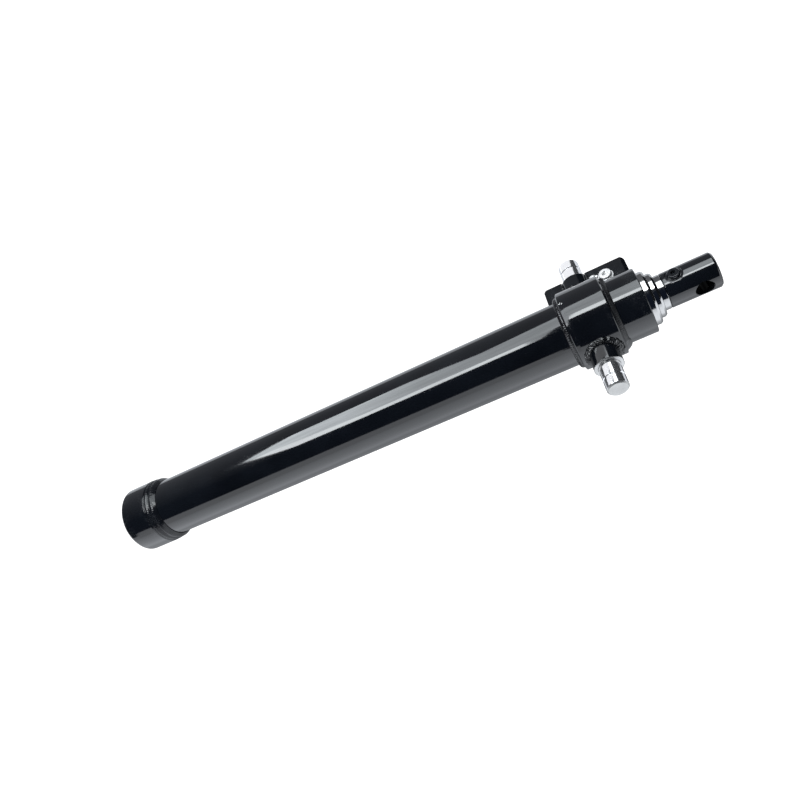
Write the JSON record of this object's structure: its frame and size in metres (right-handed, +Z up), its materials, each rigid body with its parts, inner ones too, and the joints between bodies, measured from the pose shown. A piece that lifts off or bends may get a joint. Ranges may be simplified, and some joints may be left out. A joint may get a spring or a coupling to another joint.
{
  "type": "telescopic hydraulic cylinder",
  "caption": "Closed telescopic hydraulic cylinder with trunnions, a side port block and a cross-bored rod eye, its nested stages sliding out along one axis.",
  "frame": {"origin": "where the trunnion axis crosses the cylinder axis", "axes": "+X along the cylinder from the base cap to the rod eye, which is the way every stage slides out; Y along the trunnions, with the port block on +Y; +Z up, on the port plug's and bleed plug's side"},
  "size_m": [1.468, 0.362, 0.172],
  "materials": {
    "black_paint": "gloss black enamel over steel",
    "hard_chrome": "ground and polished hard chrome",
    "zinc_plate": "bright zinc plate, turned",
    "bright_steel": "machined steel",
    "bronze": "machined bearing bronze",
    "seal_rubber": "smooth seal rubber",
    "wiper_rubber": "smooth wiper rubber"
  },
  "bodies": {
    "barrel": {"barrel_tube": "black_paint", "base_cap": "black_paint", "trunnion_band": "black_paint", "trunnion_boss_near": "black_paint", "trunnion_boss_far": "black_paint", "trunnion_pin_near": "zinc_plate", "trunnion_pin_far": "zinc_plate", "port_block": "black_paint", "port_plug": "zinc_plate", "port_seal_washer": "bright_steel", "head_stop_ring_1": "bright_steel", "head_guide_bush_1": "bronze", "rod_seal_1": "seal_rubber", "head_retaining_ring_1": "bright_steel", "wiper_1": "wiper_rubber"},
    "stage_1": {"stage_1_tube": "hard_chrome", "base_guide_ring_1": "bronze", "stop_collar_1": "bright_steel", "head_stop_ring_2": "bright_steel", "head_guide_bush_2": "bronze", "rod_seal_2": "seal_rubber", "head_retaining_ring_2": "bright_steel", "wiper_2": "wiper_rubber"},
    "stage_2": {"stage_2_tube": "hard_chrome", "base_guide_ring_2": "bronze", "stop_collar_2": "bright_steel", "head_stop_ring_3": "bright_steel", "head_guide_bush_3": "bronze", "rod_seal_3": "seal_rubber", "head_retaining_ring_3": "bright_steel", "wiper_3": "wiper_rubber"},
    "plunger": {"plunger_tube": "hard_chrome", "base_guide_ring_3": "bronze", "stop_collar_3": "bright_steel", "rod_eye": "black_paint", "bleed_washer": "bright_steel", "bleed_plug": "black_paint"}
  },
  "joints": [
    {"name": "stage_1_slide", "type": "slide", "parent": "barrel", "child": "stage_1", "axis": [1, 0, 0], "range_m": [0, 1.08]},
    {"name": "stage_2_slide", "type": "slide", "parent": "stage_1", "child": "stage_2", "axis": [1, 0, 0], "range_m": [0, 1.08]},
    {"name": "plunger_slide", "type": "slide", "parent": "stage_2", "child": "plunger", "axis": [1, 0, 0], "range_m": [0, 1.08]}
  ]
}
